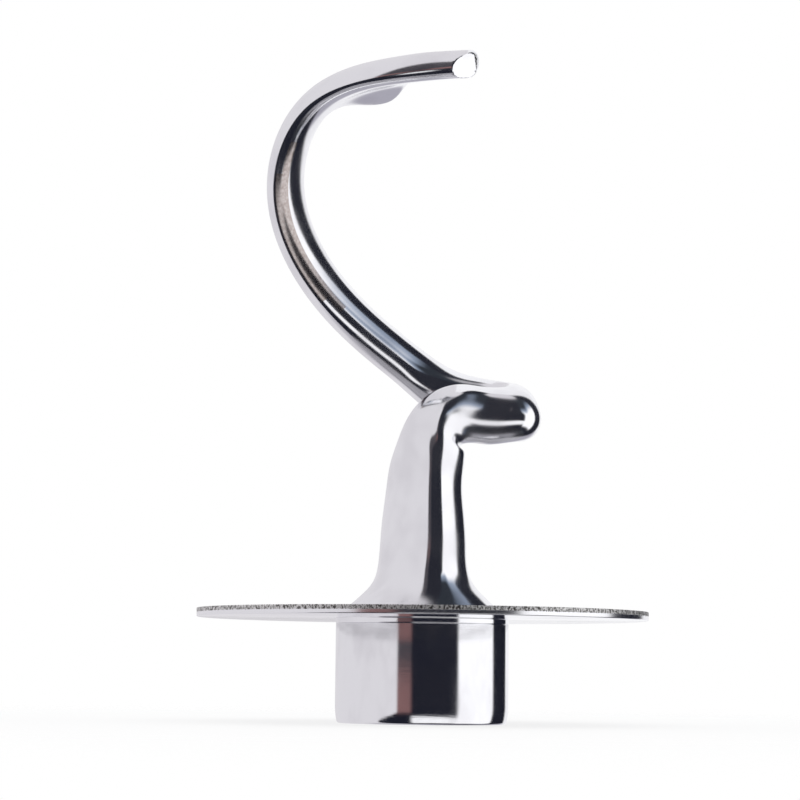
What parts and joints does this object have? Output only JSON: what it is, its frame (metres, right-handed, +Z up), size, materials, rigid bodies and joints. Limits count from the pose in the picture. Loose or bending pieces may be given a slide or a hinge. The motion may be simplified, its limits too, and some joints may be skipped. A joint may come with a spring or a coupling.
{
  "type": "stand mixer dough hook",
  "caption": "Polished metal dough hook for a stand mixer: an open C-shaped arm on an oval neck, with a flat round guard disc above its socketed hub.",
  "frame": {"origin": "on the hub's axis, in the plane of its open end face", "axes": "+Z up the hub's axis towards the hook, +X towards the side that the elbow points to, -Y towards the side that the hook's tip comes forward to"},
  "size_m": [0.0952, 0.0952, 0.1398],
  "materials": {
    "casting_steel": "polished",
    "disc_steel": "polished"
  },
  "bodies": {
    "root": {"hook_casting": "casting_steel", "guard_disc": "disc_steel"}
  },
  "joints": []
}
